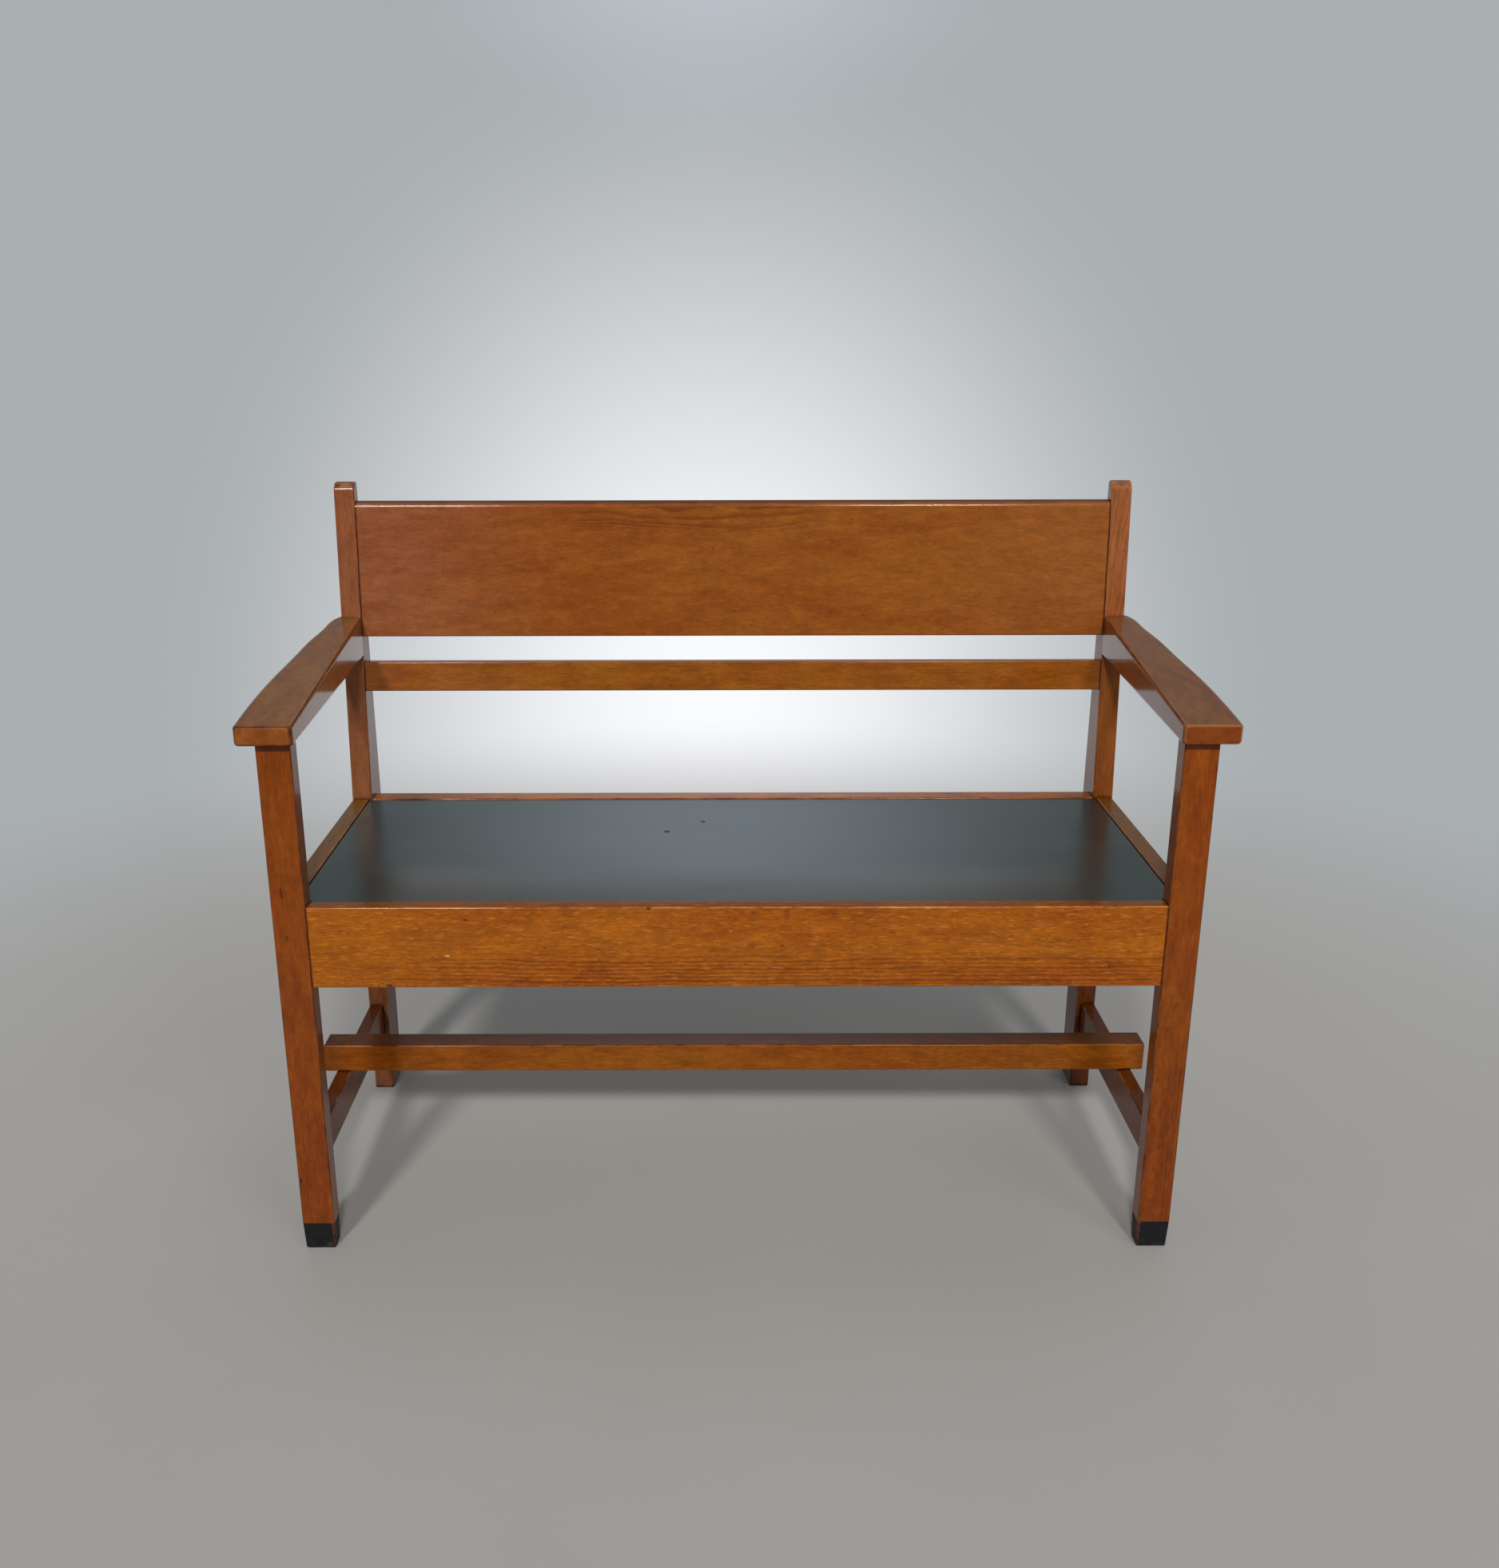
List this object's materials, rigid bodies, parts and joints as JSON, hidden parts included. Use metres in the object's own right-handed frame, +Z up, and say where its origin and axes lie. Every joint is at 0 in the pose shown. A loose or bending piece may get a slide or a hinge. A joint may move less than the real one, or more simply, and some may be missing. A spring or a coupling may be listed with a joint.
{
  "type": "settle",
  "caption": "Oak hall settle with square legs, raked rear posts, plain back panel over a narrow slat, wedge-shaped arms, dark inset seat and low stretchers.",
  "frame": {"origin": "on the floor, under the middle of the settle's bounding box", "axes": "+X along the seat to the right of someone standing in front and facing the settle, +Y from the front to the back, +Z up"},
  "size_m": [1.1194, 0.482, 0.8925],
  "materials": {
    "oak": "satin varnish",
    "deal": "bare",
    "dowel_wood": "bare",
    "seat_leathercloth": "satin",
    "foot_rubber": "matte",
    "screw_steel": "plain"
  },
  "bodies": {
    "root": {"front_leg_left": "oak", "front_leg_right": "oak", "rear_post_left": "oak", "rear_post_right": "oak", "side_rail_left": "oak", "side_rail_right": "oak", "side_stretcher_left": "oak", "side_stretcher_right": "oak", "arm_left": "oak", "arm_right": "oak", "front_rail": "oak", "back_rail": "oak", "long_stretcher": "oak", "back_panel": "oak", "back_slat": "oak", "front_foot_cap_left": "foot_rubber", "front_foot_cap_right": "foot_rubber", "seat_cover": "seat_leathercloth", "seat_board": "deal", "seat_batten_front": "deal", "seat_batten_back": "deal", "seat_batten_left": "deal", "seat_batten_right": "deal", "corner_blocks": "deal", "arm_leg_dowels": "dowel_wood", "arm_post_dowels": "dowel_wood", "seat_frame_screws": "screw_steel", "stretcher_screws": "screw_steel"}
  },
  "joints": []
}
